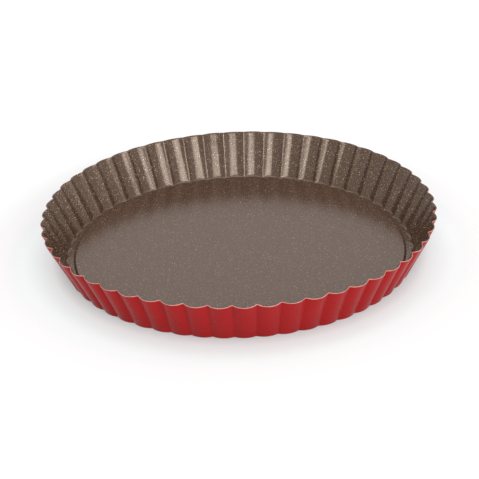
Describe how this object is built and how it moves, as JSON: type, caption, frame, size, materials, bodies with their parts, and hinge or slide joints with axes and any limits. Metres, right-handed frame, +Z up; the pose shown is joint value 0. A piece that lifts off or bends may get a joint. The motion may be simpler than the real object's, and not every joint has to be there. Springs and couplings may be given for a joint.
{
  "type": "tart tin",
  "caption": "Shallow round tart tin with a fluted, outward leaning wall, a scalloped rim and a raised flat base, red enamel outside and speckled brown non-stick inside.",
  "frame": {"origin": "centre of the flat ring that the tin stands on, level with its underside", "axes": "+Z up along the tin's axis towards its open rim, +X through the middle of a flute, +Y through a crease between two flutes"},
  "size_m": [0.28, 0.2796, 0.0325],
  "materials": {
    "coated_steel": "gloss red enamel outside, speckled brown non-stick coating inside"
  },
  "bodies": {
    "root": {"tin": "coated_steel"}
  },
  "joints": []
}
